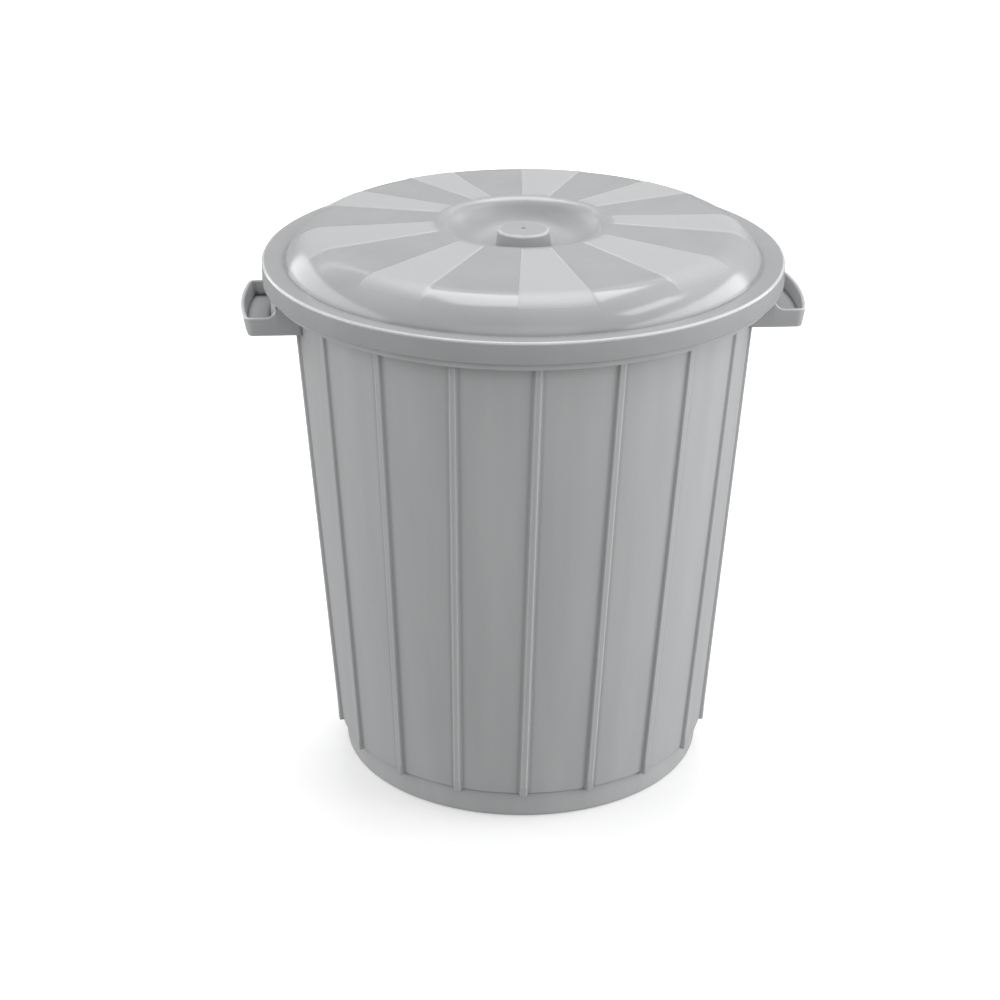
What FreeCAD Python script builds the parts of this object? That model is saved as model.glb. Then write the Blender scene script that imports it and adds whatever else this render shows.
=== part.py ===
import FreeCAD, Part
import math
import os
import Sketcher

# Round moulded trash can: a tapered ribbed tub with a turned-down rim and two moulded grips,
# and a loose domed lid with a knob in a well. Millimetres, +Z up, origin at the middle of the base.
SIZES = {
    # tub wall, base and foot
    "tub_height": 473.1,
    "wall": 2.6,
    "wall_top_radius": 205.3,
    "panel_foot_radius": 171.5,
    "foot_height": 27.5,
    "foot_step": 3.7,
    "foot_taper": 2.0,
    "foot_round": 2.2,
    "base_lift": 5.0,
    # turned-down rim
    "rim_reach": 18.2,
    "lip_height": 21.7,
    "rim_round": 3.0,
    # ribs on the outside of the wall
    "rib_count": 18,
    "rib_width": 6.0,
    "rib_foot_rise": 2.2,
    "rib_head_rise": 0.6,
    "rib_lean_degrees": 1.14,
    # moulded grips under the rim
    "grip_reach": 26.5,
    "grip_length": 105.0,
    "grip_drop": 34.3,
    "grip_depth": 16.6,
    "grip_draft": 3.0,
    "grip_corner": 3.0,
    "plate": 3.0,
    "plate_round": 9.5,
    # lid
    "lid_wall": 2.2,
    "skirt_gap": 4.3,
    "skirt_height": 18.7,
    "flange_width": 20.3,
    "edge_rise": 4.2,
    "crease_rise": 2.4,
    "edge_round": 2.4,
    "shoulder_width": 41.7,
    "shoulder_radius": 52.6,
    "crown_rise": 33.6,
    "crown_fall": 6.0,
    "well_radius": 69.5,
    "well_wall_width": 23.5,
    "well_wall_radius": 28.0,
    "well_depth": 24.5,
    "well_round": 3.5,
    "knob_radius": 21.2,
    "knob_flare": 3.4,
    "knob_height": 17.3,
    "knob_round": 1.6,
}
GRIP_COUNT = 2
FULL_TURN = 360.0
ROUND_WALL_SHARE = 0.9
FIND_TOLERANCE = 0.001

doc = FreeCAD.newDocument("trash_can")
sheet = doc.addObject("Spreadsheet::Sheet", "dims")
for row, (alias, size) in enumerate(SIZES.items(), start=1):
    sheet.set(f"A{row}", alias)
    sheet.set(f"B{row}", str(size))
    sheet.setAlias(f"B{row}", alias)
doc.recompute()


def number(expression):
    """Value of an expression in the sheet's sizes."""
    return float(sheet.evalExpression(expression))


def origin_feature(body, role):
    """The body's own origin plane or axis with this role."""
    return next(item for item in body.Origin.OriginFeatures if item.Role == role)


def new_sketch(body, name, role):
    """Empty sketch on one of the body's origin planes."""
    sketch = body.newObject("Sketcher::SketchObject", name)
    sketch.AttachmentSupport = [(origin_feature(body, role), "")]
    sketch.MapMode = "FlatFace"
    return sketch


def raise_sketch(sketch, expression):
    """Moves a sketch along its plane's normal by a bound distance."""
    lift = FreeCAD.Vector(0, 0, number(expression))
    sketch.AttachmentOffset = FreeCAD.Placement(lift, FreeCAD.Rotation())
    sketch.setExpression("AttachmentOffset.Base.z", expression)


def arc_between(start, end, radius, turn):
    """Arc of less than a half circle from start to end, turning left or right as it goes."""
    chord = end - start
    half = chord.Length / 2
    side = FreeCAD.Vector(-chord.y, chord.x, 0).normalize()
    if turn == "right":
        side = side.negative()
    centre = (start + end) / 2 + side * math.sqrt(radius ** 2 - half ** 2)
    first, last = (start, end) if turn == "left" else (end, start)
    circle = Part.Circle(centre, FreeCAD.Vector(0, 0, 1), radius)
    angles = [math.atan2(point.y - centre.y, point.x - centre.x) for point in (first, last)]
    return Part.ArcOfCircle(circle, angles[0], angles[1])


def bind_place(sketch, kind, geometry, end, expression):
    """Ties one coordinate of a segment's end to an expression, measured from the sketch's origin."""
    if expression == "0":
        axis = -2 if kind == "DistanceX" else -1
        sketch.addConstraint(Sketcher.Constraint("PointOnObject", geometry, end, axis))
        return
    value = number(expression)
    ends = (-1, 1, geometry, end) if value > 0 else (geometry, end, -1, 1)
    index = sketch.addConstraint(Sketcher.Constraint(kind, *ends, abs(value)))
    sketch.setExpression(f"Constraints[{index}]", expression if value > 0 else f"-({expression})")


def outline(sketch, corners):
    """Closed outline. A corner is (x, y), or (x, y, radius, turn) where an arc leads on from it."""
    places = [FreeCAD.Vector(number(corner[0]), number(corner[1]), 0) for corner in corners]
    ends = []
    for index, corner in enumerate(corners):
        start = places[index]
        end = places[(index + 1) % len(places)]
        if len(corner) == 2:
            sketch.addGeometry(Part.LineSegment(start, end))
            ends.append((1, 2))
        else:
            sketch.addGeometry(arc_between(start, end, number(corner[2]), corner[3]))
            ends.append((1, 2) if corner[3] == "left" else (2, 1))
    for index, corner in enumerate(corners):
        after = (index + 1) % len(corners)
        sketch.addConstraint(Sketcher.Constraint("Coincident", index, ends[index][1], after, ends[after][0]))
        bind_place(sketch, "DistanceX", index, ends[index][0], corner[0])
        bind_place(sketch, "DistanceY", index, ends[index][0], corner[1])
        if len(corner) > 2:
            radius = sketch.addConstraint(Sketcher.Constraint("Radius", index, number(corner[2])))
            sketch.setExpression(f"Constraints[{radius}]", corner[2])


def revolve(body, name, corners):
    """Solid of revolution about Z from an outline of (radius, height) corners."""
    sketch = new_sketch(body, f"{name}_outline", "XZ_Plane")
    outline(sketch, corners)
    turned = body.newObject("PartDesign::Revolution", name)
    turned.Profile = sketch
    turned.ReferenceAxis = (sketch, ["V_Axis"])
    turned.Angle = FULL_TURN
    doc.recompute()
    return turned


def pad(body, name, sketch, length):
    """Pad of a sketch by a bound length along its normal."""
    block = body.newObject("PartDesign::Pad", name)
    block.Profile = sketch
    block.setExpression("Length", length)
    return block


def ring_edges(feature, rings):
    """Names of the circular edges at these (radius, height) places."""
    wanted = [(number(radius), number(height)) for radius, height in rings]
    found = []
    for index, edge in enumerate(feature.Shape.Edges, start=1):
        if not isinstance(edge.Curve, Part.Circle):
            continue
        place = (edge.Curve.Radius, edge.Curve.Center.z)
        if any(math.dist(place, ring) < FIND_TOLERANCE for ring in wanted):
            found.append(f"Edge{index}")
    return found


def round_rings(body, name, base, rings, radius):
    """Fillet of the circular edges at these (radius, height) places."""
    fillet = body.newObject("PartDesign::Fillet", name)
    fillet.Base = (base, ring_edges(base, rings))
    fillet.setExpression("Radius", radius)
    doc.recompute()
    return fillet


def repeat_round_axis(body, name, features, occurrences):
    """Polar pattern of features about Z, which becomes the body's last step."""
    pattern = body.newObject("PartDesign::PolarPattern", name)
    pattern.Originals = features
    pattern.Axis = (origin_feature(body, "Z_Axis"), [""])
    pattern.Angle = FULL_TURN
    pattern.setExpression("Occurrences", occurrences)
    body.Tip = pattern
    doc.recompute()
    return pattern


# Places that several features share, as expressions in the sheet's sizes.
RIM_TOP = "dims.tub_height"
RIM_UNDERSIDE = "dims.tub_height - dims.wall"
RIM_MIDDLE = "dims.tub_height - dims.wall / 2"
LIP_RADIUS = "dims.wall_top_radius + dims.rim_reach"
LIP_INNER_RADIUS = f"{LIP_RADIUS} - dims.wall"
LIP_BOTTOM = "dims.tub_height - dims.lip_height"
FOOT_RADIUS = "dims.panel_foot_radius - dims.foot_step"
FOOT_BASE_RADIUS = f"{FOOT_RADIUS} - dims.foot_taper"
WALL_SLOPE = f"((dims.wall_top_radius - dims.panel_foot_radius) / ({RIM_UNDERSIDE} - dims.foot_height))"
GRIP_TOP = "dims.tub_height - dims.grip_drop"
GRIP_BOTTOM = f"{GRIP_TOP} - dims.grip_depth"
GRIP_RADIUS = f"{LIP_RADIUS} + dims.grip_reach"
GRIP_HALF = "dims.grip_length / 2"
LID_RADIUS = f"{LIP_RADIUS} + dims.skirt_gap + dims.lid_wall"


def tub_shell(body):
    """Wall, base, recessed foot and turned-down rim, all in one wall thickness."""
    shell = revolve(body, "shell", [
        ("0", "dims.base_lift"),
        (f"{FOOT_BASE_RADIUS} - dims.wall", "dims.base_lift"),
        (f"{FOOT_BASE_RADIUS} - dims.wall", "0"),
        (FOOT_BASE_RADIUS, "0"),
        (FOOT_RADIUS, "dims.foot_height"),
        ("dims.panel_foot_radius", "dims.foot_height"),
        ("dims.wall_top_radius", RIM_UNDERSIDE),
        (LIP_INNER_RADIUS, RIM_UNDERSIDE),
        (LIP_INNER_RADIUS, LIP_BOTTOM),
        (LIP_RADIUS, LIP_BOTTOM),
        (LIP_RADIUS, RIM_TOP),
        ("dims.wall_top_radius - dims.wall", RIM_TOP),
        ("dims.panel_foot_radius - dims.wall", "dims.foot_height + dims.wall"),
        (f"{FOOT_RADIUS} - dims.wall", "dims.foot_height + dims.wall"),
        (f"{FOOT_BASE_RADIUS} - dims.wall", "dims.base_lift + dims.wall"),
        ("0", "dims.base_lift + dims.wall"),
    ])
    rim = round_rings(body, "rim_edge", shell, [(LIP_RADIUS, RIM_TOP)], "dims.rim_round")
    foot_round = f"min(dims.foot_round; dims.wall * {ROUND_WALL_SHARE})"
    round_rings(body, "foot_edge", rim, [(FOOT_BASE_RADIUS, "0")], foot_round)


def tub_ribs(body):
    """Narrow ribs from the foot step to the rim: prouder at the foot, and leaning a little round the tub."""
    sketch = new_sketch(body, "rib_outline", "YZ_Plane")
    lean = FreeCAD.Rotation(FreeCAD.Vector(1, 0, 0), -number("dims.rib_lean_degrees"))
    sketch.AttachmentOffset = FreeCAD.Placement(FreeCAD.Vector(0, number(RIM_MIDDLE), 0), lean)
    sketch.setExpression("AttachmentOffset.Base.y", RIM_MIDDLE)
    sketch.setExpression("AttachmentOffset.Rotation.Angle", "-dims.rib_lean_degrees")
    foot = f"dims.foot_height - ({RIM_MIDDLE})"
    outline(sketch, [
        ("dims.panel_foot_radius - dims.wall / 2", foot),
        ("dims.panel_foot_radius + dims.rib_foot_rise", foot),
        ("dims.wall_top_radius + dims.rib_head_rise", "0"),
        ("dims.wall_top_radius - dims.wall / 2", "0"),
    ])
    rib = pad(body, "rib", sketch, "dims.rib_width")
    rib.Midplane = True
    doc.recompute()
    repeat_round_axis(body, "ribs", [rib], "dims.rib_count")


def grip_section(body, name, height, outer, half, inner, corner):
    """Plan outline of the grip at one height: outer arc, rounded corners, straight ends, inner arc."""
    sketch = new_sketch(body, name, "XY_Plane")
    raise_sketch(sketch, height)
    corner_x = f"sqrt(({outer} - ({corner})) ^ 2 - ({half} - ({corner})) ^ 2)"
    outward = f"({outer}) / ({outer} - ({corner}))"
    tangent_x = f"{corner_x} * {outward}"
    tangent_y = f"({half} - ({corner})) * {outward}"
    inner_x = f"sqrt(({inner}) ^ 2 - ({half}) ^ 2)"
    outline(sketch, [
        (tangent_x, f"-({tangent_y})", outer, "left"),
        (tangent_x, tangent_y, corner, "left"),
        (corner_x, half),
        (inner_x, half, inner, "right"),
        (inner_x, f"-({half})"),
        (corner_x, f"-({half})", corner, "left"),
    ])
    return sketch


def loft(body, kind, name, lower, upper):
    """Straight-sided loft between two plan outlines."""
    block = body.newObject(f"PartDesign::{kind}", name)
    block.Profile = lower
    block.Sections = [upper]
    block.Ruled = True
    return block


def grip_plate(body, name, place):
    """End plate of a grip: from the tub wall out under the lip, hollowed in a quarter round up to it."""
    sketch = new_sketch(body, f"{name}_outline", "XZ_Plane")
    raise_sketch(sketch, place)

    def across(radius):
        """Distance along X at which this radius meets the plate's outer face."""
        return f"sqrt(({radius}) ^ 2 - ({GRIP_HALF}) ^ 2)"

    wall_at_bottom = f"dims.wall_top_radius - {WALL_SLOPE} * ({RIM_UNDERSIDE} - ({GRIP_BOTTOM}))"
    lip_face = across(LIP_RADIUS)
    lip_middle = across(f"{LIP_RADIUS} - dims.wall / 2")
    outline(sketch, [
        (across(f"{wall_at_bottom} - dims.wall / 2"), GRIP_BOTTOM),
        (f"{lip_face} + dims.plate_round", GRIP_BOTTOM),
        (f"{lip_face} + dims.plate_round", GRIP_TOP, "dims.plate_round", "right"),
        (lip_face, f"{GRIP_TOP} + dims.plate_round"),
        (lip_middle, f"{GRIP_TOP} + dims.plate_round"),
        (lip_middle, RIM_MIDDLE),
        (across("dims.wall_top_radius - dims.wall / 2"), RIM_MIDDLE),
    ])
    return pad(body, name, sketch, "dims.plate")


def tub_grips(body):
    """Two grips moulded under the rim: a gutter between an apron of the lip, a floor and an outer wall."""
    corner = "dims.grip_corner + dims.wall"
    foot_radius = f"{GRIP_RADIUS} - dims.grip_draft"
    block = loft(
        body, "AdditiveLoft", "grip_block",
        grip_section(body, "block_foot", GRIP_BOTTOM, foot_radius, GRIP_HALF, LIP_INNER_RADIUS, corner),
        grip_section(body, "block_head", GRIP_TOP, GRIP_RADIUS, GRIP_HALF, LIP_INNER_RADIUS, corner),
    )
    hollow_floor = f"{GRIP_BOTTOM} + dims.wall"
    hollow_half = f"{GRIP_HALF} - dims.plate"
    hollow_head = f"{GRIP_RADIUS} - dims.wall"
    hollow_foot = f"{hollow_head} - dims.grip_draft * (1 - dims.wall / dims.grip_depth)"
    hollow_corner = "dims.grip_corner"
    hollow = loft(
        body, "SubtractiveLoft", "grip_hollow",
        grip_section(body, "hollow_foot", hollow_floor, hollow_foot, hollow_half, LIP_RADIUS, hollow_corner),
        grip_section(body, "hollow_head", GRIP_TOP, hollow_head, hollow_half, LIP_RADIUS, hollow_corner),
    )
    apron_outline = new_sketch(body, "apron_outline", "XY_Plane")
    raise_sketch(apron_outline, GRIP_BOTTOM)
    apron_x = f"sqrt(({LIP_RADIUS}) ^ 2 - ({GRIP_HALF}) ^ 2)"
    apron_inner_x = f"sqrt(({LIP_INNER_RADIUS}) ^ 2 - ({GRIP_HALF}) ^ 2)"
    outline(apron_outline, [
        (apron_x, f"-({GRIP_HALF})", LIP_RADIUS, "left"),
        (apron_x, GRIP_HALF),
        (apron_inner_x, GRIP_HALF, LIP_INNER_RADIUS, "right"),
        (apron_inner_x, f"-({GRIP_HALF})"),
    ])
    apron = pad(body, "apron", apron_outline, f"{LIP_BOTTOM} - ({GRIP_BOTTOM}) + dims.wall")
    front = grip_plate(body, "grip_plate_front", f"{GRIP_HALF} - dims.plate")
    back = grip_plate(body, "grip_plate_back", f"-({GRIP_HALF})")
    doc.recompute()
    repeat_round_axis(body, "grips", [block, hollow, apron, front, back], f"{GRIP_COUNT}")


def make_tub():
    """The tub as one moulding."""
    body = doc.addObject("PartDesign::Body", "tub")
    body.Label = "tub"
    tub_shell(body)
    tub_ribs(body)
    tub_grips(body)
    return body


def make_lid():
    """The lid as one moulding: skirt, flange, dome, well and hollow knob. Its flange rests on the rim."""
    body = doc.addObject("PartDesign::Body", "lid")
    body.Label = "lid"
    seat = RIM_TOP
    edge_top = f"{seat} + dims.edge_rise"
    skirt_bottom = f"{edge_top} - dims.skirt_height"
    dome_foot = f"{LID_RADIUS} - dims.flange_width"
    crown_edge = f"{dome_foot} - dims.shoulder_width"
    crown_top = f"{seat} + dims.crown_rise"
    crown_low = f"{crown_top} - dims.crown_fall"
    well_floor = f"{crown_top} - dims.well_depth"
    floor_radius = "dims.well_radius - dims.well_wall_width"
    knob_top = f"{well_floor} + dims.knob_height"
    knob_foot = "dims.knob_radius + dims.knob_flare"
    moulding = revolve(body, "moulding", [
        ("0", knob_top),
        ("0", f"{knob_top} - dims.lid_wall"),
        ("dims.knob_radius - dims.lid_wall", f"{knob_top} - dims.lid_wall"),
        (f"{knob_foot} - dims.lid_wall", f"{well_floor} - dims.lid_wall"),
        (floor_radius, f"{well_floor} - dims.lid_wall", "dims.well_wall_radius + dims.lid_wall", "left"),
        ("dims.well_radius + dims.lid_wall", f"{crown_top} - dims.lid_wall"),
        (crown_edge, f"{crown_low} - dims.lid_wall", "dims.shoulder_radius - dims.lid_wall", "right"),
        (f"{dome_foot} - dims.lid_wall / 2", seat),
        (f"{LID_RADIUS} - dims.lid_wall", seat),
        (f"{LID_RADIUS} - dims.lid_wall", skirt_bottom),
        (LID_RADIUS, skirt_bottom),
        (LID_RADIUS, edge_top),
        (dome_foot, f"{seat} + dims.crease_rise", "dims.shoulder_radius", "left"),
        (crown_edge, crown_low),
        ("dims.well_radius", crown_top, "dims.well_wall_radius", "right"),
        (floor_radius, well_floor),
        (knob_foot, well_floor),
        ("dims.knob_radius", knob_top),
    ])
    edge = round_rings(body, "lid_edge", moulding, [(LID_RADIUS, edge_top)], "dims.edge_round")
    rim = round_rings(body, "well_rim", edge, [("dims.well_radius", crown_top)], "dims.well_round")
    round_rings(body, "knob_edge", rim, [("dims.knob_radius", knob_top)], "dims.knob_round")
    return body


bodies = [make_tub(), make_lid()]
doc.recompute()

failed = [item.Name for item in doc.Objects if "Invalid" in item.State or "Error" in item.State]
if failed:
    raise RuntimeError(f"failed features: {failed}")
for body in bodies:
    if body.Shape.isNull() or not body.Shape.isValid() or len(body.Shape.Solids) != 1:
        raise RuntimeError(f"{body.Label} is not one valid solid")

os.makedirs("parts", exist_ok=True)
for body in bodies:
    body.Shape.exportStep(f"parts/{body.Label}.step")
    box = body.Shape.optimalBoundingBox()
    print(f"{body.Label}: {box.XLength:.1f} x {box.YLength:.1f} x {box.ZLength:.1f} mm")
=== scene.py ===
# %% [markdown]
# # A moulded trash can
# A household bin is two plastic mouldings: a tapered tub and a loose lid. This lesson dresses the CAD
# model of such a bin. Each moulding becomes one smooth skin, worked out as a formula over a grid of
# points, with the small roundings that every moulded edge has and that catch the light.

# %% The frame
import math

import bpy
import numpy as np
from mathutils import Matrix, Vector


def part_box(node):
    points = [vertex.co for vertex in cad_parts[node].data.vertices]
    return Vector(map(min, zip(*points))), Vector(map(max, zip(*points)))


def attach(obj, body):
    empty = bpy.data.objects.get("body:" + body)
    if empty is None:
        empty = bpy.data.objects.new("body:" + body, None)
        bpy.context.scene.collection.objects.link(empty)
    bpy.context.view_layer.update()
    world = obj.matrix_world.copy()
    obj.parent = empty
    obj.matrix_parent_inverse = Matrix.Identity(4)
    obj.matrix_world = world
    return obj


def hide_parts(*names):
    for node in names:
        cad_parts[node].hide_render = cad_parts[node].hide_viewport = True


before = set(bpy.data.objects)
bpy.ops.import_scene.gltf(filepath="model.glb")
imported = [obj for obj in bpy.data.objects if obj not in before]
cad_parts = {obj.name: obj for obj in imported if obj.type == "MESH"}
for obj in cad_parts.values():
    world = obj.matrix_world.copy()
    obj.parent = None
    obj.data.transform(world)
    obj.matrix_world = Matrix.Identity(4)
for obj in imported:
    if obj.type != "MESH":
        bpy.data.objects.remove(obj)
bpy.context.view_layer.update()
MM = 0.001
# Corners of the CAD nodes, to a tenth of a mm.
tub_high = np.round(np.array(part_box("tub")[1]) / MM, 1)
lid_low, lid_high = np.round(np.array(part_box("lid")) / MM, 1)
print("CAD nodes:", sorted(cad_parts))
print("tub up to", tub_high, "mm, lid from", lid_low, "to", lid_high, "mm")

# %% [markdown]
# ## From a grid to a closed skin
# A turned or swept shape is a grid: rows follow its outline, columns go round it. The grid is closed in
# the column direction, and its first and last rows shrink to one point each, which closes the ends.
# Writing whole arrays into the mesh keeps this fast, and makes every skin watertight by construction.


# %% Skins
def closed_skin(name, grid):
    """Mesh object from a (rows, columns, 3) grid in mm.

    Each row is a closed ring, joined to the next by quads. The first and last rows are drawn together
    into a pole, joined to its ring by triangles.
    """
    rows, columns = grid.shape[:2]
    poles = grid[[0, -1]].mean(axis=1)
    points = np.vstack([grid[1:-1].reshape(-1, 3), poles]) * MM
    ring = np.arange((rows - 2) * columns).reshape(rows - 2, columns)
    after = np.roll(ring, -1, axis=1)
    quads = np.stack([ring[:-1], after[:-1], after[1:], ring[1:]], axis=-1).reshape(-1, 4)
    start = np.stack([np.full(columns, ring.size), after[0], ring[0]], axis=-1)
    end = np.stack([np.full(columns, ring.size + 1), ring[-1], after[-1]], axis=-1)
    mesh = bpy.data.meshes.new(name)
    mesh.from_pydata(points, [], quads.tolist() + start.tolist() + end.tolist())
    piece = bpy.data.objects.new(name, mesh)
    bpy.context.scene.collection.objects.link(piece)
    return piece


def litres(mesh):
    """Volume by the divergence theorem: a sixth of the sum of a . (b x c) over the triangles.
    It is positive where the faces point outwards."""
    mesh.calc_loop_triangles()
    corner = np.empty(len(mesh.loop_triangles) * 3, np.int32)
    mesh.loop_triangles.foreach_get("vertices", corner)
    place = np.empty(len(mesh.vertices) * 3)
    mesh.vertices.foreach_get("co", place)
    a, b, c = place.reshape(-1, 3)[corner.reshape(-1, 3)].transpose(1, 0, 2)
    return float(np.einsum("ij,ij->i", a, np.cross(b, c)).sum() / 6 * 1000)


def face_outwards(piece):
    """Flips the faces of a skin whose volume comes out negative."""
    if litres(piece.data) < 0:
        piece.data.flip_normals()
    return piece


# %% [markdown]
# ## Outlines with rounded corners
# Seen in section, a moulding is a chain of corners, each with its own small radius. A corner is rounded
# by the usual fillet construction. Each point also keeps its station: the number of its corner, plus the
# share of the way to the next one. Later steps use the stations to say which rows a rib or a relief moves.


# %% Rounded outlines
# Points of an outline that are nearer than this, in mm, are one point.
SAME_POINT = 1e-6


def rounded_outline(corners, parts, steps=6):
    """Points and stations along an outline of (across, up, radius) corners. The arc at a corner starts
    radius x tan(turn / 2) before it and turns evenly. The straight after corner i is cut into parts[i]."""
    corners = np.asarray(corners, float)
    place, radius = corners[:, :2], corners[1:-1, 2:]
    leg = np.diff(place, axis=0)
    leg /= np.linalg.norm(leg, axis=1, keepdims=True)
    before, after = leg[:-1], leg[1:]
    left = np.stack([-before[:, 1], before[:, 0]], axis=1)
    turn = np.arctan2((left * after).sum(1), (before * after).sum(1))[:, None]
    swing = turn * np.linspace(0, 1, steps)
    begin = place[1:-1] - before * radius * np.tan(np.abs(turn) / 2)
    along = radius * np.sin(np.abs(swing))
    aside = radius * (1 - np.cos(swing)) * np.sign(turn)
    bends = begin[:, None] + along[..., None] * before[:, None] + aside[..., None] * left[:, None]
    ends = np.repeat(place[[0, -1], None], steps, axis=1)
    bends = np.concatenate([ends[:1], bends, ends[1:]])
    points, stations = [], []
    for i, count in enumerate(parts):
        share = np.arange(1, count)[:, None] / count
        points += [bends[i], bends[i, -1] * (1 - share) + bends[i + 1, 0] * share]
        stations += [np.full(steps, float(i)), i + share[:, 0]]
    points = np.vstack(points + [bends[-1]])
    stations = np.concatenate(stations + [np.full(steps, len(parts))])
    fresh = np.append(True, np.linalg.norm(np.diff(points, axis=0), axis=1) > SAME_POINT)
    return points[fresh], stations[fresh]


def smooth_step(low, high, x):
    """0 below low, 1 above high, and 3t^2 - 2t^3 of the share t of the way in between."""
    share = np.clip((x - low) / (high - low), 0, 1)
    return share * share * (3 - 2 * share)


# %% [markdown]
# ## The tub's outline
# From the middle of the underside the outline goes out to the foot ring, up the recessed foot, over the
# step to the panels, up the wall, and round the turned-down rim. It then comes back down the inside one
# wall thickness away, because a moulding has an even wall. The radii are those of a normal mould.

# %% Tub outline
LIP_RADIUS, RIM_TOP, WALL = tub_high[1], tub_high[2], 2.6
FOOT_HEIGHT, PANEL_FOOT, WALL_TOP = 27.5, 171.5, 205.3
FOOT_RADIUS, FOOT_TOP, BASE_LIFT = 165.8, 167.8, 5.0
BASE_RADIUS, RING_INSIDE = 157.5, 159.5
RIM_UNDER, LIP_BOTTOM = RIM_TOP - WALL, 451.4
tub_corners = [
    (0.0, BASE_LIFT, 0.0), (BASE_RADIUS, BASE_LIFT, 2.0), (RING_INSIDE, 0.0, 1.0), (FOOT_RADIUS, 0.0, 4.0),
    (FOOT_TOP, FOOT_HEIGHT, 0.8), (PANEL_FOOT, FOOT_HEIGHT, 1.0), (WALL_TOP, RIM_UNDER, 2.5),
    (LIP_RADIUS - WALL, RIM_UNDER, 1.5), (LIP_RADIUS - WALL, LIP_BOTTOM, 0.7), (LIP_RADIUS, LIP_BOTTOM, 0.8),
    (LIP_RADIUS, RIM_TOP, 3.0), (WALL_TOP - WALL, RIM_TOP, 2.5), (PANEL_FOOT - WALL, FOOT_HEIGHT + WALL, 2.5),
    (FOOT_TOP - WALL, FOOT_HEIGHT + WALL, 1.5), (FOOT_RADIUS - WALL, BASE_LIFT + WALL, 6.0),
    (0.0, BASE_LIFT + WALL, 0.0),
]
# Parts of each straight. The long wall takes many, because the ribs lean along it.
tub_parts = [6, 1, 1, 3, 1, 28, 3, 2, 1, 2, 3, 28, 1, 3, 6]
tub_line, tub_station = rounded_outline(tub_corners, tub_parts)
print("tub outline:", len(tub_line), "points")

# %% [markdown]
# ## Ribs that lean
# Narrow ribs stiffen the panels. Each stands proudest at its foot, gets a little lower towards the rim, and
# leans a little round the tub. Modelling them as separate strips would leave seams, so the grid's columns
# follow the leaning ribs and the wall is lifted along them: a bump across the rib times a rise down the wall.

# %% Rib columns
RIBS, RIB_EDGE, LEAN = 18, 5.4, math.tan(math.radians(1.14))
# Half a rib: distances from its middle line in mm, and the share of its rise there.
half_rib = np.array([0.6, 1.5, 2.0, 2.3, 2.6, 3.2, 3.8, 4.1, 4.4, RIB_EDGE])
half_bump = np.array([1.0, 1.0, 1.0, 0.95, 0.83, 0.5, 0.17, 0.05, 0.0, 0.0])
across_rib = np.append(-half_rib[::-1], half_rib)
PITCH, GRIP_HALF = 2 * math.pi / RIBS, 52.5
panel_start = PITCH / 2 + RIB_EDGE / LIP_RADIUS
# Two columns run inside each end plate of a grip, so that the step where the lip drops is hidden there.
PLATE_COLUMNS = np.array([2.3, 0.6])
plate_angle = np.arcsin((GRIP_HALF - PLATE_COLUMNS) / LIP_RADIUS)
in_plate = (plate_angle - panel_start) / (2 * (PITCH - panel_start))
panel_share = np.concatenate([in_plate, np.arange(2, 7) / 8, 1 - in_plate[::-1]])
rib_offset = np.tile(np.append(across_rib, np.full(panel_share.size, RIB_EDGE)), RIBS)
column_share = np.tile(np.append(np.zeros(across_rib.size), panel_share), RIBS)
rib_angle = np.repeat(np.arange(RIBS) * PITCH - math.pi / 2, across_rib.size + panel_share.size)
bump = np.tile(np.concatenate([half_bump[::-1], half_bump, np.zeros(panel_share.size)]), RIBS)
print("tub columns:", rib_offset.size)


# %% Tub skin
RIB_FOOT_RISE, RIB_HEAD_RISE, RIB_TIP = 3.3, 2.5, 2.5
APRON_BOTTOM, APRON_INSET = 423.4, 1.2
# Stations of the corners between which rows are moved.
AT_FOOT_TOP, AT_PANEL_FOOT, AT_WALL_TOP, AT_LIP_IN, AT_LIP_OUT, AT_RIM_IN = 4, 5, 6, 8, 9, 11
# Inside this radius the columns keep their angles and run straight to the pole.
POLE_RADIUS = 150


def tub_angles(radius, height):
    """Angle of every column at every row.

    A column keeps its distance in mm from its rib's middle line, or its share of the panel. The middle line
    drifts by lean x depth below the rim, and stays put on the rim and below the foot step.
    """
    depth = RIM_TOP - np.clip(height, FOOT_HEIGHT, RIM_TOP)
    wall_radius = np.interp(RIM_TOP - depth, [FOOT_HEIGHT, RIM_UNDER], [PANEL_FOOT, WALL_TOP])
    on_lip = (tub_station > AT_WALL_TOP) & (tub_station < AT_RIM_IN)
    drift = np.where(on_lip, 0, -np.arctan(depth * LEAN / wall_radius))[:, None]
    reach = np.maximum(radius, POLE_RADIUS)[:, None]
    return rib_angle + drift + rib_offset / reach + column_share * (PITCH - 2 * RIB_EDGE / reach)


def tub_grid():
    """The turned outline with three changes: on the panels the radius gains rise x bump, the lip's foot drops
    between each grip's plates, and each rib's tip hangs a little over the ledge of the foot."""
    radius, height = tub_line.T
    angle = tub_angles(radius, height)
    rise = np.interp(height, [FOOT_HEIGHT, RIM_TOP], [RIB_FOOT_RISE, RIB_HEAD_RISE])
    on_panel = (tub_station >= AT_PANEL_FOOT) & (tub_station <= AT_WALL_TOP)
    out = radius[:, None] + (rise * on_panel)[:, None] * bump
    apron = np.abs(np.sin(angle)) * LIP_RADIUS < GRIP_HALF - APRON_INSET
    at_lip_foot = (tub_station == AT_LIP_IN) | (tub_station == AT_LIP_OUT)
    at_ledge = (tub_station >= AT_FOOT_TOP) & (tub_station <= AT_PANEL_FOOT)
    lip_drop = (LIP_BOTTOM - APRON_BOTTOM) * (apron & at_lip_foot[:, None])
    tip_drop = RIB_TIP * at_ledge[:, None] * bump
    up = height[:, None] - lip_drop - tip_drop
    return np.stack([out * np.cos(angle), out * np.sin(angle), np.broadcast_to(up, angle.shape)], axis=-1)


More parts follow.
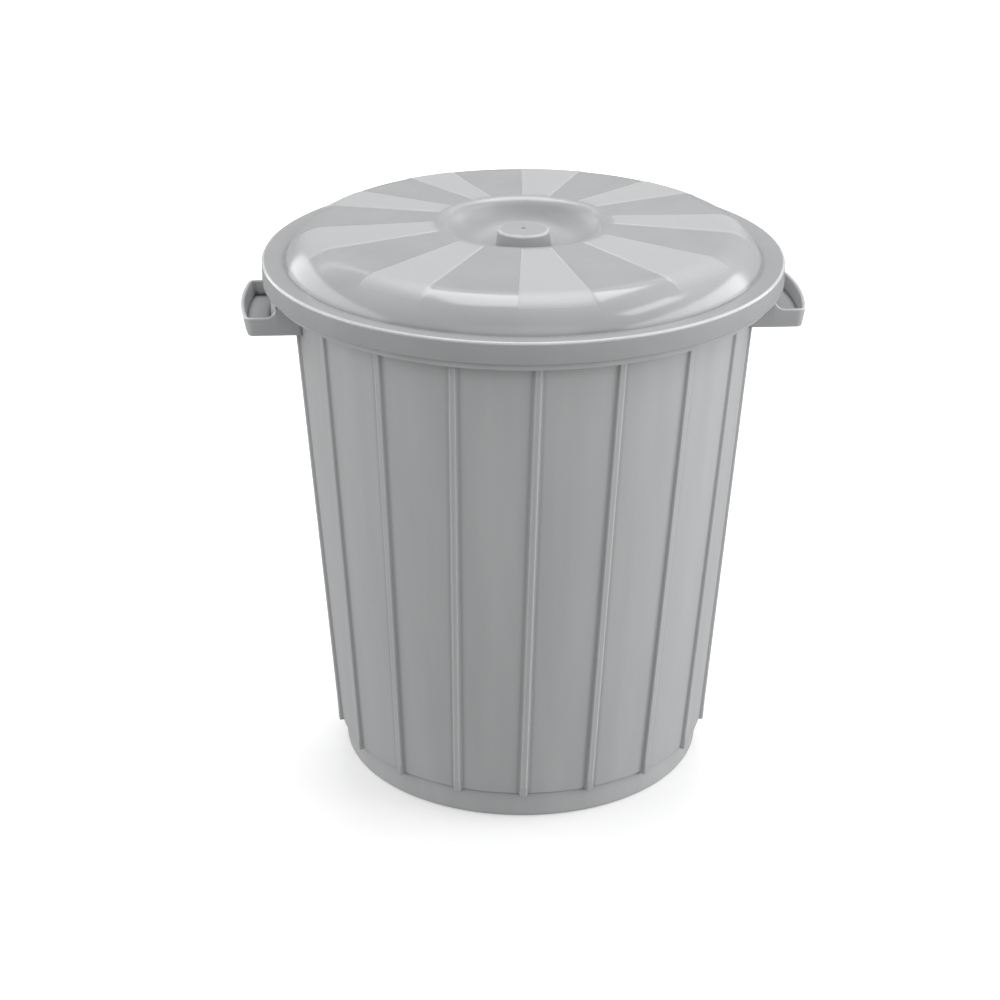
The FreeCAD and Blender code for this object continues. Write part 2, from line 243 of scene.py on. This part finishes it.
tub = face_outwards(closed_skin("tub_moulding", tub_grid()))
print("tub shell:", round(litres(tub.data), 3), "litres of plastic")

# %% [markdown]
# ## The grips
# Under the rim on each side hangs a grip: a thin wall that runs out from the tub, turns a rounded corner,
# follows the rim and comes back, with a floor inside. The wall is one outline carried along that path.
# Near the lip its top edge sweeps up in a quarter round. A boolean union then makes one moulding of it all.

# %% Grip path
# The grip is drawn a tenth of a mm smaller than in the CAD model, to stay inside it.
GRIP_RADIUS, GRIP_TOP, GRIP_BOTTOM = tub_high[0] - 0.1, 438.8, 422.2
GRIP_WALL, GRIP_CORNER, GRIP_DRAFT, PLATE_ROUND = 3.4, 5.4, 3.0, 9.5
mid_radius, mid_half = GRIP_RADIUS - GRIP_WALL / 2, GRIP_HALF - GRIP_WALL / 2
corner_x = math.sqrt((mid_radius - GRIP_CORNER) ** 2 - (mid_half - GRIP_CORNER) ** 2)
sweep = math.atan2(mid_half - GRIP_CORNER, corner_x)
lip_x = math.sqrt(LIP_RADIUS ** 2 - GRIP_HALF ** 2)
rise_angle = np.linspace(0, math.pi / 2, 10)
sweep_out = PLATE_ROUND * (1 - np.cos(rise_angle))
sweep_up = PLATE_ROUND * (1 - np.sin(rise_angle))
# Behind the lip the plate runs up into the rim. Its top drops to the quarter round inside the lip's own wall.
PLATE_BACK, PLATE_FRONT, PLATE_DROP = [200.0, 210.0], [236.0], np.array([1.5, 1.4])
RIM_MIDDLE = RIM_TOP - WALL / 2
plate_x = np.concatenate([PLATE_BACK, lip_x - PLATE_DROP, lip_x + sweep_out, PLATE_FRONT])
plate_top = np.concatenate([[RIM_MIDDLE] * 3, [GRIP_TOP + PLATE_ROUND], GRIP_TOP + sweep_up, [GRIP_TOP]])
corner_turn = np.linspace(-math.pi / 2, -sweep, 8)
outer_turn = np.linspace(-sweep, sweep, 25)[1:-1]
corner_normal = np.stack([np.cos(corner_turn), np.sin(corner_turn)], axis=1)
half_path = np.concatenate([
    np.stack([plate_x, np.full(plate_x.size, -mid_half)], axis=1),
    [corner_x, GRIP_CORNER - mid_half] + GRIP_CORNER * corner_normal,
])
half_normal = np.concatenate([np.tile([0.0, -1.0], (plate_x.size, 1)), corner_normal])
outer_normal = np.stack([np.cos(outer_turn), np.sin(outer_turn)], axis=1)
mirror = np.array([1.0, -1.0])
grip_path = np.concatenate([half_path, mid_radius * outer_normal, half_path[::-1] * mirror])
grip_normal = np.concatenate([half_normal, outer_normal, half_normal[::-1] * mirror])
half_top = np.append(plate_top, np.full(corner_turn.size, GRIP_TOP))
grip_top = np.concatenate([half_top, np.full(outer_turn.size, GRIP_TOP), half_top[::-1]])
print("grip path:", len(grip_path), "points")


# %% Grip skins
GRIP_EDGE = 1.4
FLOOR_IN, FLOOR_OUT, FLOOR_LOW, FLOOR_HIGH, FLOOR_BEVEL = 220.7, 244.8, 0.3, 2.6, 0.5


def grip_wall_grid():
    """A thin upright section with rounded edges carried along the path. The outer wall leans in by the draft
    from its top to its foot, in step with how far its face looks outwards."""
    half = GRIP_WALL / 2
    ring = np.linspace(0, math.pi / 2, 5)
    quarter = np.stack([half - GRIP_EDGE + GRIP_EDGE * np.sin(ring), -GRIP_EDGE * (1 - np.cos(ring))], axis=1)
    aside = np.concatenate([quarter[:, 0], quarter[::-1, 0], -quarter[:, 0], -quarter[::-1, 0]])
    above = np.concatenate([quarter[:, 1], -quarter[::-1, 1], -quarter[:, 1], quarter[::-1, 1]])
    high = np.repeat([1.0, 0.0, 0.0, 1.0], ring.size)
    up = GRIP_BOTTOM + (grip_top - GRIP_BOTTOM)[:, None] * high + above
    lean = GRIP_DRAFT * (GRIP_TOP - up) / (GRIP_TOP - GRIP_BOTTOM) * np.clip(grip_normal[:, :1], 0, 1)
    plan = grip_path[:, None] + grip_normal[:, None] * (aside - lean)[..., None]
    wall_radius = np.interp(up[[0, -1]], [FOOT_HEIGHT, RIM_UNDER], [PANEL_FOOT, WALL_TOP]) - WALL / 2
    plan[[0, -1], :, 0] = np.sqrt(wall_radius ** 2 - mid_half ** 2)
    grid = np.concatenate([plan, up[..., None]], axis=-1)
    return np.concatenate([grid[:1], grid, grid[-1:]])


def grip_floor_grid():
    """A flat slab between the apron and the outer wall: a section carried from plate to plate. Each of its
    points keeps its radius, so it lies out by the root of radius squared less along squared."""
    bevel_in = FLOOR_IN + FLOOR_BEVEL
    radius = np.array([FLOOR_IN, FLOOR_IN, bevel_in, FLOOR_OUT, FLOOR_OUT, bevel_in])
    bevel_up = [FLOOR_HIGH - FLOOR_BEVEL, FLOOR_LOW + FLOOR_BEVEL]
    up = GRIP_BOTTOM + np.array(bevel_up + [FLOOR_LOW, FLOOR_LOW, FLOOR_HIGH, FLOOR_HIGH])
    along = np.linspace(-mid_half, mid_half, 17)[:, None]
    grid = np.stack(np.broadcast_arrays(np.sqrt(radius ** 2 - along ** 2), along, up), axis=-1)
    return np.concatenate([grid[:1], grid, grid[-1:]])


def fuse(piece, additions):
    """Union of closed skins: the walls inside the others are cut away, and one closed skin stays.
    The additions are split into triangles first, because bent quads can leave the union with a hole."""
    for extra in additions:
        extra.modifiers.new("flat_faces", "TRIANGULATE")
        union = piece.modifiers.new("union", "BOOLEAN")
        union.operation, union.solver, union.object = "UNION", "EXACT", extra
    shape = bpy.data.meshes.new_from_object(piece.evaluated_get(bpy.context.evaluated_depsgraph_get()))
    piece.modifiers.clear()
    piece.data = shape
    for extra in additions:
        bpy.data.objects.remove(extra)


# Half a turn about the tub's axis changes the sign of x and y.
half_turn = np.array([-1.0, -1.0, 1.0])
grip_skins = [
    face_outwards(closed_skin(f"{name}_{side}", grid * turn))
    for side, turn in (("right", 1.0), ("left", half_turn))
    for name, grid in (("grip_wall", grip_wall_grid()), ("grip_floor", grip_floor_grid()))
]
fuse(tub, grip_skins)
print("tub with grips:", round(litres(tub.data), 3), "litres of plastic,", len(tub.data.polygons), "faces")

# %% [markdown]
# ## The lid's outline
# The lid is turned too: a knob with its gate mark, a well for the fingers, a flat crown, a round shoulder,
# a flange and a skirt, and the same line back underneath. The well's wall and the shoulder are large arcs,
# so they are sampled from their circles and need no rounding of their own.


# %% Lid outline
def arc_corners(start, end, radius, shares):
    """Points at shares of the way along an arc from start to end. A positive radius turns left.

    The centre lies on the chord's middle normal, away from the chord by the root of radius squared less
    half the chord squared.
    """
    start, end = np.array(start), np.array(end)
    chord = end - start
    half = np.linalg.norm(chord) / 2
    side = np.array([-chord[1], chord[0]]) / (2 * half) * math.copysign(1, radius)
    centre = (start + end) / 2 + side * math.sqrt(radius ** 2 - half ** 2)
    first = math.atan2(*(start - centre)[::-1])
    angle = first + 2 * math.asin(half / radius) * np.asarray(shares)
    ring = centre + abs(radius) * np.stack([np.cos(angle), np.sin(angle)], axis=1)
    return np.column_stack([ring, np.zeros(len(ring))]).tolist()


KNOB_RADIUS, KNOB_FOOT, KNOB_TOP = 22.8, 24.6, 499.5
GATE_DIP, GATE_RIDGE = KNOB_TOP - 1.0, KNOB_TOP + 0.4
WELL_FOOT, WELL_RADIUS, WELL_FLOOR, WELL_ARC = 38.0, 69.5, 482.2, 34.0
# The rounding at the well's rim takes the crown's top down again, to just under that of the CAD model.
CROWN_TOP, CROWN_LOW, WELL_RIM_ROUND = lid_high[2] + 0.2, 501.8, 11.0
SHOULDER, SHOULDER_ARC, SHOULDER_INSIDE_ARC = 173.0, 39.0, 38.6
LID_RADIUS, BRIM, SKIRT_BOTTOM, LID_WALL = lid_high[0], 478.0, lid_low[2], 2.2
CREASE = (209.7, 475.0)
gate = [
    (0.0, GATE_DIP, 0), (1.5, GATE_DIP, 0.2), (1.9, GATE_RIDGE, 0.2), (3.4, GATE_RIDGE, 0.3),
    (4.2, KNOB_TOP, 0.3),
]
knob = [(KNOB_RADIUS, KNOB_TOP, 2.4), (KNOB_FOOT, WELL_FLOOR, 1.6)]
well = arc_corners((WELL_FOOT, WELL_FLOOR), (WELL_RADIUS, CROWN_TOP), WELL_ARC, np.linspace(0, 0.75, 12))
crown = [(WELL_RADIUS, CROWN_TOP, WELL_RIM_ROUND)]
crown += arc_corners((SHOULDER, CROWN_LOW), CREASE, -SHOULDER_ARC, np.linspace(0, 0.96, 26))
brim = [(*CREASE, 1.0), (LID_RADIUS, BRIM, 2.0), (LID_RADIUS, SKIRT_BOTTOM, 0.8)]
skirt_inside, crease_under = LID_RADIUS - LID_WALL, (CREASE[0] - LID_WALL / 2, RIM_TOP)
shoulder_under = (SHOULDER, CROWN_LOW - LID_WALL)
well_top_under = (WELL_RADIUS + LID_WALL, CROWN_TOP - LID_WALL)
well_foot_under = (WELL_FOOT, WELL_FLOOR - LID_WALL)
under = [(skirt_inside, SKIRT_BOTTOM, 0.8), (skirt_inside, RIM_TOP, 1.5), (*crease_under, 0.8)]
under += arc_corners(crease_under, shoulder_under, SHOULDER_INSIDE_ARC, np.linspace(0.06, 1, 16))
under += [(*well_top_under, 5.0)]
under += arc_corners(well_top_under, well_foot_under, -WELL_ARC - LID_WALL, np.linspace(0.25, 1, 10))
under += [(KNOB_FOOT - LID_WALL, WELL_FLOOR - LID_WALL, 0.8)]
under += [(KNOB_RADIUS - LID_WALL, KNOB_TOP - LID_WALL, 1.2), (0.0, KNOB_TOP - LID_WALL, 0)]
lid_corners = gate + knob + well + crown + brim + under
crown_start = len(gate + knob + well)
lid_parts = np.ones(len(lid_corners) - 1, int)
CROWN_PARTS = 14
lid_parts[crown_start] = CROWN_PARTS
lid_line, lid_station = rounded_outline(lid_corners, lid_parts)
print("lid outline:", len(lid_line), "points")

# %% [markdown]
# ## Petals
# The crown is split into sectors, etched and polished by turns. The mould's sectors were finished by hand,
# so their edges are a list of angles and not an even division. The etched faces stand a hair proud, with a
# faint bead at their edges. The step is only about 0.4 mm, but it catches the light.

# %% Petal columns
# Where each etched petal starts and ends, in degrees round the axis.
etched_spans = [
    (-182, -162), (-138, -119), (-95, -76), (-53, -31), (-8, 9), (31, 48), (69, 87), (108, 122), (141, 157),
]
petal_from = np.ravel(etched_spans).astype(float)
petal_to = np.append(petal_from[1:], petal_from[0] + 360)
# Three columns shape each edge: one on the step, one on the bead and one where the bead runs out. These are
# their distances from the edge in degrees, and the heights in mm of an etched petal there.
BEAD = 1.2
near_edge, edge_height = np.array([0.2, 0.6, BEAD]), [0.1, 0.34, 0.24]
share = np.linspace(0, 1, 9)[1:-1]
inner = petal_from[:, None] + BEAD + share * (petal_to - petal_from - 2 * BEAD)[:, None]
petal_angle = np.hstack([petal_from[:, None] + near_edge, inner, petal_to[:, None] - near_edge[::-1]])
lid_angle = np.radians(petal_angle.ravel())
PETAL_RISE = 0.2
column_height = np.concatenate([edge_height, np.full(share.size, PETAL_RISE), edge_height[::-1]])
is_etched = np.arange(petal_from.size) % 2 == 0
petal_height = np.where(is_etched[:, None], column_height, -np.minimum(column_height, PETAL_RISE)).ravel()
column_etched = np.repeat(is_etched, column_height.size).astype(float)
print("lid columns:", lid_angle.size)


# %% Lid skin
PETAL_START, PETAL_END = (76, 79), (188, 202)


def petal_fade(radius, station):
    """1 on the crown, 0 elsewhere: it comes in just outside the well's rim and goes out on the shoulder."""
    on_crown = (station >= crown_start) & (station < crown_start + len(crown))
    return on_crown * smooth_step(*PETAL_START, radius) * (1 - smooth_step(*PETAL_END, radius))


def lid_grid():
    """The turned outline, with the fade x the column's own rise added to its height. The rise is a fifth of
    a mm up on etched petals and as far down on polished ones."""
    radius, height = lid_line.T
    up = height[:, None] + petal_fade(radius, lid_station)[:, None] * petal_height
    out = np.broadcast_to(radius[:, None], up.shape)
    return np.stack([out * np.cos(lid_angle), out * np.sin(lid_angle), up], axis=-1)


lid = face_outwards(closed_skin("lid_moulding", lid_grid()))
fade = petal_fade(lid_line[1:-1, 0], lid_station[1:-1])
mask = np.append(np.outer(fade, column_etched).ravel(), [0.0, 0.0])
lid.data.attributes.new("etched", "FLOAT", "POINT").data.foreach_set("value", mask.astype(np.float32))
print("lid:", round(litres(lid.data), 3), "litres of plastic,", len(lid.data.polygons), "faces")

# %% [markdown]
# ## Joining the CAD bodies
# Each moulding stands for its CAD node and rides on that node's body, so the lid still lifts off. Faces are
# shaded smooth, except along edges that bend sharply, such as the corner where a grip meets the wall.

# %% Dress the bodies
SHARP_ANGLE = math.radians(40)
for piece, body, slot in ((tub, "tub", "grey_polypropylene"), (lid, "lid", "grey_polypropylene_lid")):
    piece.data.shade_smooth()
    piece.data.set_sharp_from_angle(angle=SHARP_ANGLE)
    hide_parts(body)
    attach(piece, body)
    print(piece.name, "rides on", body)

# %% [markdown]
# ## Moulded polypropylene
# Polypropylene is a waxy plastic with an index of refraction of 1.49. A mould that was eroded or etched
# leaves a satin skin, and a polished one leaves gloss. The pigment is never quite even: the melt flows up
# the wall from the gate and leaves faint streaks along its way. The colour also holds painted light: a
# painted highlight on thin outer edges, and painted shade in inner corners. Both could be painted by hand,
# but a measure of how open the space next to the skin is finds them by itself, on every side.


# %% Finish helpers
def linear(code):
    """sRGB hex to linear: ((c + 0.055) / 1.055) ** 2.4, or c / 12.92 near black."""
    share = np.array([int(code[i:i + 2], 16) for i in (1, 3, 5)]) / 255
    value = np.where(share <= 0.04045, share / 12.92, ((share + 0.055) / 1.055) ** 2.4)
    return (*value.tolist(), 1.0)


def fill_inputs(tree, node, inputs):
    """Links an input where it gets a socket, and sets it where it gets a value."""
    for name, value in inputs.items():
        if isinstance(value, bpy.types.NodeSocket):
            tree.links.new(value, node.inputs[name])
        else:
            node.inputs[name].default_value = value


def add_node(tree, kind, inputs=None, **settings):
    """Adds one node, with its settings, and fills its inputs."""
    made = tree.nodes.new(kind)
    for name, value in settings.items():
        setattr(made, name, value)
    fill_inputs(tree, made, inputs or {})
    return made


# Reach of the painted shade in corners and of the painted highlight on edges, and the open shares at which
# the painted corner shade is full and gone.
CORNER_REACH, EDGE_REACH = 4.5 * MM, 1.5 * MM
CORNER_DARK, CORNER_CLEAR = 0.55, 0.98


def paint_shade_and_highlight(tree, measure, colour, shade_colour, highlight_colour, band, sharpness):
    """Colour with painted light: painted shade in inner corners, and a painted highlight on outer edges.

    Both are told by how open the space within reach is: in front of the skin for corners, behind it for
    edges. The painted highlight goes only where a measure, such as the height, is within a band, given by its
    middle and its half width in mm. The two values of sharpness are the open shares at which the painted
    highlight on an edge starts and is full. The painted shade in a corner is full and gone at shares of its
    own.
    """
    local = {"samples": 8, "only_local": True}
    corner = add_node(tree, "ShaderNodeAmbientOcclusion", {"Distance": CORNER_REACH}, **local)
    edge = add_node(tree, "ShaderNodeAmbientOcclusion", {"Distance": EDGE_REACH}, inside=True, **local)
    middle, half = band[0] * MM, band[1] * MM
    here = add_node(tree, "ShaderNodeMath", {0: measure, 1: middle, 2: half}, operation="COMPARE")
    open_share = add_node(tree, "ShaderNodeMapRange", {
        "Value": corner.outputs["AO"], "From Min": CORNER_DARK, "From Max": CORNER_CLEAR})
    highlight_share = add_node(tree, "ShaderNodeMapRange", {
        "Value": edge.outputs["AO"], "From Min": sharpness[0], "From Max": sharpness[1],
        "To Max": here.outputs[0]})
    # Painted shade goes into the colour first, then the painted highlight over it.
    shaded = add_node(tree, "ShaderNodeMix", {
        "Factor": open_share.outputs[0], 6: linear(shade_colour), 7: colour}, data_type="RGBA")
    colour_with_painted_light = add_node(tree, "ShaderNodeMix", {
        "Factor": highlight_share.outputs[0], 6: shaded.outputs[2], 7: linear(highlight_colour)}, data_type="RGBA")
    return colour_with_painted_light.outputs[2]


def new_material(name):
    """Node material with just its shader and output. Polypropylene has an index of refraction of 1.49, and
    that of paper is near it."""
    material = bpy.data.materials.new(name)
    material.use_nodes = True
    tree = material.node_tree
    tree.nodes.clear()
    shader = add_node(tree, "ShaderNodeBsdfPrincipled", {"IOR": 1.49})
    add_node(tree, "ShaderNodeOutputMaterial", {"Surface": shader.outputs[0]})
    return material, tree, shader


# %% Tub finish
# Satin polypropylene, moulded in an eroded mould: a soft sheen, a fine grain and faint streaks up the wall.
# The real grain is a few tenths of a mm wide. It is drawn at 1.3 mm, because a finer one would not show.
satin, tree, shader = new_material("satin_polypropylene_moulded")
place = add_node(tree, "ShaderNodeTexCoord").outputs["Object"]
STREAK, STREAK_LENGTH, CLOUD = 22 * MM, 260 * MM, 45 * MM
GRAIN, GRAIN_DEPTH = 1.3 * MM, 0.03 * MM
# The painted highlight on edges goes on the wall alone, above the foot and below the lip: middle height and
# half width in mm.
WALL_HIGHLIGHT_BAND = (240, 205)
streak_scale = (1 / STREAK, 1 / STREAK, 1 / STREAK_LENGTH)
along = add_node(tree, "ShaderNodeMapping", {"Vector": place, "Scale": streak_scale})
streak = add_node(tree, "ShaderNodeTexNoise", {"Vector": along.outputs[0], "Scale": 1.0, "Detail": 4.0})
tint = add_node(tree, "ShaderNodeValToRGB", {"Fac": streak.outputs["Fac"]})
low, high = tint.color_ramp.elements
low.position, low.color = 0.3, linear("#aeafb0")
high.position, high.color = 0.7, linear("#b4b5b6")
cloud = add_node(tree, "ShaderNodeTexNoise", {"Vector": place, "Scale": 1 / CLOUD, "Detail": 3.0})
gloss = add_node(tree, "ShaderNodeMapRange", {"Value": cloud.outputs["Fac"], "To Min": 0.3, "To Max": 0.4})
grain = add_node(tree, "ShaderNodeTexNoise", {"Vector": place, "Scale": 1 / GRAIN, "Detail": 2.0})
relief = add_node(tree, "ShaderNodeBump", {
    "Height": grain.outputs["Fac"], "Strength": 0.25, "Distance": GRAIN_DEPTH})
height = add_node(tree, "ShaderNodeSeparateXYZ", {"Vector": place}).outputs["Z"]
# Painted shade in the inner corners and a painted highlight on the outer edges, worked into the tub's colour.
colour_with_painted_light = paint_shade_and_highlight(tree, height, tint.outputs[0], "#5c5d5e", "#dedfe0", WALL_HIGHLIGHT_BAND, (0.95, 0.75))
fill_inputs(tree, shader, {
    "Base Color": colour_with_painted_light, "Roughness": gloss.outputs[0], "Normal": relief.outputs[0],
    "Specular IOR Level": 0.3})
tub.data.materials.append(satin)
print("tub finish:", satin.name)

# %% [markdown]
# ## The lid's two finishes
# Apart from the small step, the petals differ only in their skin: the polished ones mirror the lamp with a
# crisp edge, the etched ones spread it to a pale sheen. So one material covers the lid, and the mask stored
# on the mesh with the petals switches the finish. The well keeps a softer polish than the crown.

# %% Lid finish
# Polypropylene from a mould polished in sectors: a clear gloss beside an etched satin that looks paler.
petal, tree, shader = new_material("polypropylene_polished_and_etched")
place = add_node(tree, "ShaderNodeTexCoord").outputs["Object"]
etched = add_node(tree, "ShaderNodeAttribute", attribute_name="etched").outputs["Fac"]
axes = add_node(tree, "ShaderNodeSeparateXYZ", {"Vector": place}).outputs
flat = add_node(tree, "ShaderNodeCombineXYZ", {"X": axes[0], "Y": axes[1]})
radius = add_node(tree, "ShaderNodeVectorMath", {0: flat.outputs[0]}, operation="LENGTH").outputs["Value"]
WELL_EDGE, WELL_INSIDE = 71 * MM, 67 * MM
in_well = add_node(tree, "ShaderNodeMapRange", {
    "Value": radius, "From Min": WELL_EDGE, "From Max": WELL_INSIDE, "To Max": 0.2})
cloud = add_node(tree, "ShaderNodeTexNoise", {"Vector": place, "Scale": 1 / CLOUD, "Detail": 3.0})
plain_tint = add_node(tree, "ShaderNodeValToRGB", {"Fac": cloud.outputs["Fac"]})
low, high = plain_tint.color_ramp.elements
low.position, low.color = 0.3, linear("#9fa0a1")
high.position, high.color = 0.7, linear("#a4a5a6")
colour = add_node(tree, "ShaderNodeMix", {
    "Factor": etched, 6: plain_tint.outputs[0], 7: linear("#abacad")}, data_type="RGBA")
shine = add_node(tree, "ShaderNodeMapRange", {"Value": cloud.outputs["Fac"], "To Min": 0.12, "To Max": 0.2})
polish = add_node(tree, "ShaderNodeMath", {0: shine.outputs[0], 1: in_well.outputs[0]}, operation="ADD")
gloss = add_node(tree, "ShaderNodeMix", {"Factor": etched, "A": polish.outputs[0], "B": 0.42})
grain = add_node(tree, "ShaderNodeTexNoise", {"Vector": place, "Scale": 1 / GRAIN, "Detail": 2.0})
depth = add_node(tree, "ShaderNodeMath", {0: etched, 1: 0.3}, operation="MULTIPLY")
relief = add_node(tree, "ShaderNodeBump", {
    "Height": grain.outputs["Fac"], "Strength": depth.outputs[0], "Distance": GRAIN_DEPTH})
# The painted highlight on edges goes from halfway up the skirt to the crown. A height of zero keeps the gate
# mark out of that.
GATE_REACH, LID_HIGHLIGHT_BAND = 10 * MM, (488, 20)
off_gate = add_node(tree, "ShaderNodeMath", {0: radius, 1: GATE_REACH}, operation="GREATER_THAN").outputs[0]
height = add_node(tree, "ShaderNodeMath", {0: axes[2], 1: off_gate}, operation="MULTIPLY").outputs[0]
# Painted shade in the inner corners and a painted highlight on the outer edges, worked into the lid's colour.
colour_with_painted_light = paint_shade_and_highlight(tree, height, colour.outputs[2], "#7c7d7e", "#f4f4f4", LID_HIGHLIGHT_BAND, (0.96, 0.88))
fill_inputs(tree, shader, {"Base Color": colour_with_painted_light, "Roughness": gloss.outputs[0], "Normal": relief.outputs[0]})
lid.data.materials.append(petal)
print("lid finish:", petal.name)

# %% [markdown]
# ## Studio
# A white sweep of paper and large soft lamps make the usual light for a plain grey product. The box overhead
# and behind gives the lid its crisp highlight, and the strip at the right a second one. The long side boxes,
# the right one stronger, draw the round of the tub from dark in the middle to light at the edges. A high box
# at the left and a fill in front keep the shade open, and a wash lights the paper behind. The paper glows
# more with distance, so it stays white to the back. It is kept out of the bin's reflections and of the light
# thrown back on it, as if the picture had been cut out.

# %% Floor
scene = bpy.context.scene
FLOOR_HALF, FIBRE, GLOW_START, GLOW_END = 30.0, 4 * MM, 1.0, 4.0
side = np.array([-1.0, 1.0]) * FLOOR_HALF
across, ahead = np.meshgrid(side, side)
floor_mesh = bpy.data.meshes.new("floor")
floor_mesh.from_pydata(np.stack([across.ravel(), ahead.ravel(), np.zeros(4)], axis=1), [], [(0, 1, 3, 2)])
floor = bpy.data.objects.new("floor", floor_mesh)
scene.collection.objects.link(floor)
# Uncoated white paper, rolled flat: matt, and faintly mottled by its fibres. The real fibres are far finer
# than 4 mm, which is about the finest mottle that could show at this distance.
paper, tree, shader = new_material("white_paper_sweep")
place = add_node(tree, "ShaderNodeTexCoord").outputs["Object"]
fibre = add_node(tree, "ShaderNodeTexNoise", {"Vector": place, "Scale": 1 / FIBRE, "Detail": 3.0})
tint = add_node(tree, "ShaderNodeValToRGB", {"Fac": fibre.outputs["Fac"]})
low, high = tint.color_ramp.elements
low.color, high.color = linear("#f3f3f3"), linear("#f6f6f6")
distance = add_node(tree, "ShaderNodeVectorMath", {0: place}, operation="LENGTH").outputs["Value"]
glow = add_node(tree, "ShaderNodeMapRange", {
    "Value": distance, "From Min": GLOW_START, "From Max": GLOW_END, "To Min": 0.2})
fill_inputs(tree, shader, {
    "Base Color": tint.outputs[0], "Roughness": 0.95, "Specular IOR Level": 0.1,
    "Emission Color": linear("#ffffff"), "Emission Strength": glow.outputs[0]})
floor_mesh.materials.append(paper)
# The paper shows and takes the shadow, but throws no light back and isn't mirrored.
floor.visible_diffuse = floor.visible_glossy = False
print("floor:", paper.name)


# %% Lights
def softbox(name, place, target, size, radiance):
    """Rectangular lamp at place, turned to target.

    Its power is pi x area x radiance, so that two boxes of one radiance look equally bright, whatever their
    size. A lamp shines down at first, so it is tilted by the angle whose tangent is the level distance over
    the drop, and then turned about the vertical to face the target.
    """
    data = bpy.data.lights.new(name, "AREA")
    data.shape, data.size, data.size_y = "RECTANGLE", *size
    data.energy = math.pi * size[0] * size[1] * radiance
    lamp = bpy.data.objects.new(name, data)
    lamp.location = place
    x, y, z = np.subtract(target, place)
    lamp.rotation_euler = (math.atan2(math.hypot(x, y), -z), 0, math.atan2(y, x) - math.pi / 2)
    scene.collection.objects.link(lamp)


LID_AIM, WALL_AIM, PAPER_AIM = (0.0, 0.0, 0.4), (0.0, 0.0, 0.3), (0.0, 3.6, 0.0)
softbox("overhead_box", (0.05, 0.74, 2.35), LID_AIM, (1.3, 1.5), 4.8)
softbox("right_box", (3.0, -0.3, 0.95), WALL_AIM, (5.0, 1.8), 3.65)
softbox("right_strip", (1.5, -0.42, 2.05), LID_AIM, (1.2, 0.4), 5.0)
softbox("left_box", (-3.0, 1.0, 0.95), WALL_AIM, (5.0, 1.8), 2.6)
softbox("left_high_box", (-2.4, -0.6, 2.0), LID_AIM, (3.6, 2.6), 0.5)
softbox("front_fill", (-0.3, -2.6, 1.6), LID_AIM, (3.0, 1.6), 1.12)
softbox("backdrop_wash", (0.0, 2.4, 2.2), PAPER_AIM, (5.0, 1.2), 3.0)
world = bpy.data.worlds.new("studio")
world.use_nodes = True
tree = world.node_tree
fill_inputs(tree, tree.nodes["Background"], {"Color": linear("#ffffff"), "Strength": 0.36})
scene.world = world
scene.view_settings.view_transform = "Standard"

# %% [markdown]
# ## Camera
# A short telephoto lens about two metres away, well above the lid, looks down at the bin. The shift keeps the
# frame where the view has it without turning the camera, so the verticals converge as they should.

# %% Camera
camera_data = bpy.data.cameras.new("camera")
camera_data.sensor_width, camera_data.lens = 36.0, 85.907
camera_data.shift_x, camera_data.shift_y = -0.02202, 0.00817
camera = bpy.data.objects.new("camera", camera_data)
camera.location = (-0.13501, -2.00626, 1.1386)
# Pan, tilt and roll in degrees.
camera_turns = ((-3.85, "Z"), (90 - 24.318, "X"), (0.321, "Z"))
turns = [Matrix.Rotation(math.radians(angle), 3, axis) for angle, axis in camera_turns]
camera.rotation_euler = (turns[0] @ turns[1] @ turns[2]).to_euler()
scene.collection.objects.link(camera)
scene.camera = camera
print("camera at", tuple(round(c, 3) for c in camera.location))
